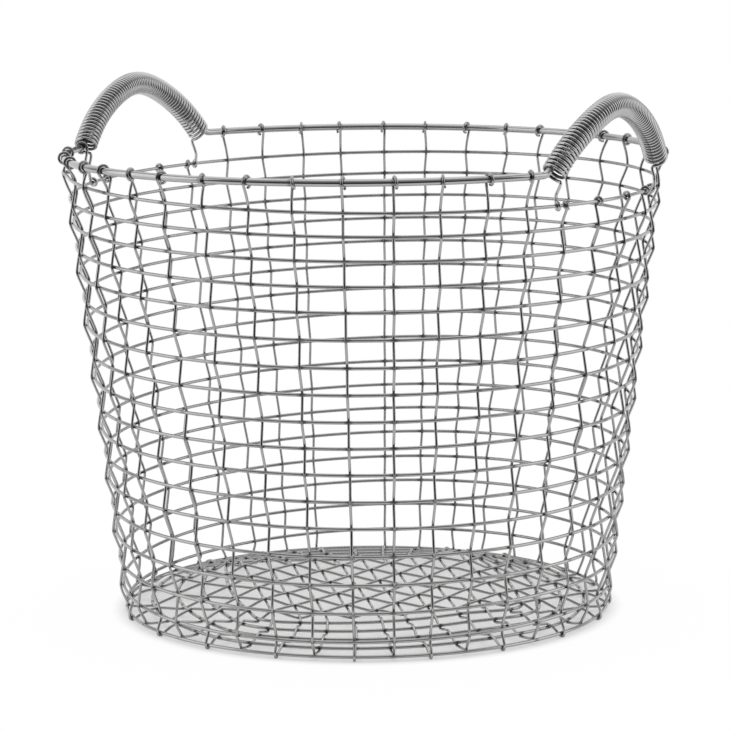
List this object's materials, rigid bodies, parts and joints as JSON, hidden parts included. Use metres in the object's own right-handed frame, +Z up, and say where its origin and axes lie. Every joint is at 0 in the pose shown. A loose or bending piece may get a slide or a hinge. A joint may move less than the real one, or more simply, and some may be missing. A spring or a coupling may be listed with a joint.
{
  "type": "wire basket",
  "caption": "Round tapered basket woven from steel wire, with a bent wire rim and two arched handles that have spring grips.",
  "frame": {"origin": "on the floor plane under the basket's middle", "axes": "+Z up; +X through the middle of one handle; the other handle is at -X"},
  "size_m": [0.5178, 0.511, 0.4451],
  "materials": {
    "rim_wire": "bare drawn steel wire, 6 mm",
    "spring_wire": "bare drawn spring wire, 2 mm",
    "mesh_wire": "bare drawn steel wire, 2 mm"
  },
  "bodies": {
    "root": {"rim_wire": "rim_wire", "handle_spring_right": "spring_wire", "handle_spring_left": "spring_wire", "wall_ring_01": "mesh_wire", "wall_ring_02": "mesh_wire", "wall_ring_03": "mesh_wire", "wall_ring_04": "mesh_wire", "wall_ring_05": "mesh_wire", "wall_ring_06": "mesh_wire", "wall_ring_07": "mesh_wire", "wall_ring_08": "mesh_wire", "wall_ring_09": "mesh_wire", "wall_ring_10": "mesh_wire", "wall_ring_11": "mesh_wire", "wall_ring_12": "mesh_wire", "wall_ring_13": "mesh_wire", "wall_ring_14": "mesh_wire", "wall_ring_15": "mesh_wire", "wall_ring_16": "mesh_wire", "wall_ring_17": "mesh_wire", "base_edge_ring": "mesh_wire", "base_ring_1": "mesh_wire", "base_ring_2": "mesh_wire", "base_ring_3": "mesh_wire", "base_ring_4": "mesh_wire", "mesh_wire_a01": "mesh_wire", "mesh_wire_a02": "mesh_wire", "mesh_wire_a03": "mesh_wire", "mesh_wire_a04": "mesh_wire", "mesh_wire_a05": "mesh_wire", "mesh_wire_a06": "mesh_wire", "mesh_wire_a07": "mesh_wire", "mesh_wire_a08": "mesh_wire", "mesh_wire_a09": "mesh_wire", "mesh_wire_a10": "mesh_wire", "mesh_wire_b01": "mesh_wire", "mesh_wire_b02": "mesh_wire", "mesh_wire_b03": "mesh_wire", "mesh_wire_b04": "mesh_wire", "mesh_wire_b05": "mesh_wire", "mesh_wire_b06": "mesh_wire", "mesh_wire_b07": "mesh_wire", "mesh_wire_b08": "mesh_wire", "mesh_wire_b09": "mesh_wire", "mesh_wire_b10": "mesh_wire"}
  },
  "joints": []
}
